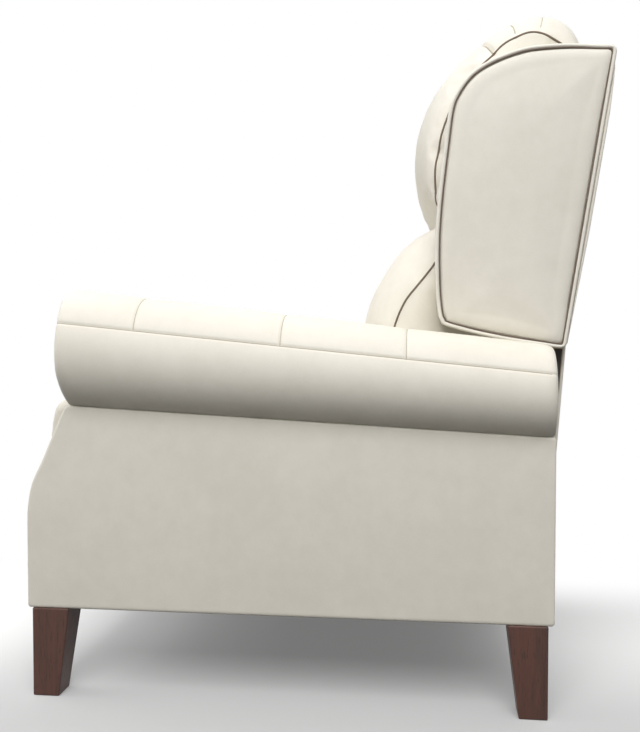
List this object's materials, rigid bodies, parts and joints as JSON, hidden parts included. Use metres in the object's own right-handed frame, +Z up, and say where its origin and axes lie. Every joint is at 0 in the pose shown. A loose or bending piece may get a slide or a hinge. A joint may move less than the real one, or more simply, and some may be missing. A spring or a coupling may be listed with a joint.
{
  "type": "high leg recliner",
  "caption": "Push-back recliner with rolled arms, wings, head and lumbar pillows, tapered wooden legs, a sliding seat, a folding footrest and a reclining back.",
  "frame": {"origin": "on the floor under the middle of the closed chair's bounding box", "axes": "+Z up from the floor, -Y towards the footrest, +X towards the sitter's left"},
  "size_m": [0.8112, 0.913, 1.098],
  "materials": {
    "upholstery": "soft satin",
    "leg_wood": "satin varnish",
    "frame_wood": "plain sawn",
    "black_steel": "semi-gloss",
    "zinc_steel": "satin",
    "spring_steel": "satin",
    "deck_cloth": "matte"
  },
  "bodies": {
    "base": {"leg_front_left": "leg_wood", "leg_front_right": "leg_wood", "leg_rear_left": "leg_wood", "leg_rear_right": "leg_wood", "leg_bolts": "zinc_steel", "outer_side_left": "upholstery", "outer_side_right": "upholstery", "inner_side_left": "upholstery", "inner_side_right": "upholstery", "side_frame_left": "frame_wood", "side_frame_right": "frame_wood", "front_band_left": "upholstery", "front_band_right": "upholstery", "rear_band_left": "upholstery", "rear_band_right": "upholstery", "arm_roll_left": "upholstery", "arm_roll_right": "upholstery", "rear_rail": "upholstery", "base_plate_left": "black_steel", "base_plate_right": "black_steel", "cross_tubes": "black_steel", "base_rivets": "zinc_steel", "mechanism_screws": "zinc_steel"},
    "front_swing": {"swing_front_left": "black_steel", "swing_front_right": "black_steel"},
    "rear_swing": {"swing_rear_left": "black_steel", "swing_rear_right": "black_steel"},
    "seat": {"seat_plate_left": "black_steel", "seat_plate_right": "black_steel", "seat_frame": "frame_wood", "seat_springs": "spring_steel", "seat_deck": "deck_cloth", "seat_cushion": "upholstery", "seat_rivets": "zinc_steel"},
    "front_crank": {"crank_front_left": "black_steel", "crank_front_right": "black_steel", "drive_tube": "black_steel", "crank_rivets": "zinc_steel"},
    "rear_crank": {"crank_rear_left": "black_steel", "crank_rear_right": "black_steel", "rear_crank_rivets": "zinc_steel"},
    "reach_link": {"reach_link_left": "black_steel", "reach_link_right": "black_steel"},
    "stay_link": {"stay_link_left": "black_steel", "stay_link_right": "black_steel"},
    "footrest": {"footrest_bracket_left": "black_steel", "footrest_bracket_right": "black_steel", "footrest_board": "frame_wood", "footrest_pad": "upholstery", "footrest_rivets": "zinc_steel"},
    "back": {"back_frame": "frame_wood", "back_springs": "spring_steel", "outside_back": "upholstery", "wing_left": "upholstery", "wing_right": "upholstery", "wing_welts": "upholstery", "head_pillow": "upholstery", "lumbar_pillow": "upholstery", "back_brackets": "black_steel"}
  },
  "joints": [
    {"name": "seat_travel", "type": "hinge", "parent": "base", "child": "front_swing", "pos_m": [0, -0.112, 0.204], "axis": [1, 0, 0], "range_deg": [0, 35]},
    {"name": "seat_level", "type": "hinge", "parent": "front_swing", "child": "seat", "pos_m": [0, -0.08094, 0.31991], "axis": [-1, 0, 0], "range_deg": [0, 35]},
    {"name": "rear_swing_turn", "type": "hinge", "parent": "base", "child": "rear_swing", "pos_m": [0, 0.198, 0.204], "axis": [1, 0, 0], "range_deg": [0, 35]},
    {"name": "front_crank_turn", "type": "hinge", "parent": "seat", "child": "front_crank", "pos_m": [0, -0.345, 0.3], "axis": [-1, 0, 0], "range_deg": [0, 90]},
    {"name": "rear_crank_turn", "type": "hinge", "parent": "seat", "child": "rear_crank", "pos_m": [0, -0.301, 0.3], "axis": [-1, 0, 0], "range_deg": [0, 90]},
    {"name": "reach_turn", "type": "hinge", "parent": "front_crank", "child": "reach_link", "pos_m": [0, -0.28161, 0.16405], "axis": [1, 0, 0], "range_deg": [0, 90]},
    {"name": "stay_turn", "type": "hinge", "parent": "front_crank", "child": "stay_link", "pos_m": [0, -0.29682, 0.19668], "axis": [1, 0, 0], "range_deg": [0, 90]},
    {"name": "footrest_turn", "type": "hinge", "parent": "reach_link", "child": "footrest", "pos_m": [0, -0.38, 0.275], "axis": [-1, 0, 0], "range_deg": [0, 90]},
    {"name": "back_recline", "type": "hinge", "parent": "base", "child": "back", "pos_m": [0, 0.333, 0.3], "axis": [-1, 0, 0], "range_deg": [0, 35]}
  ],
  "couplings": [
    {"joint": "seat_level", "follows": "seat_travel", "ratio": 1},
    {"joint": "rear_swing_turn", "follows": "seat_travel", "ratio": 1},
    {"joint": "front_crank_turn", "follows": "seat_travel", "ratio": 2.57},
    {"joint": "rear_crank_turn", "follows": "seat_travel", "ratio": 2.57},
    {"joint": "reach_turn", "follows": "seat_travel", "ratio": 2.57},
    {"joint": "stay_turn", "follows": "seat_travel", "ratio": 2.57},
    {"joint": "footrest_turn", "follows": "seat_travel", "ratio": 2.57}
  ]
}
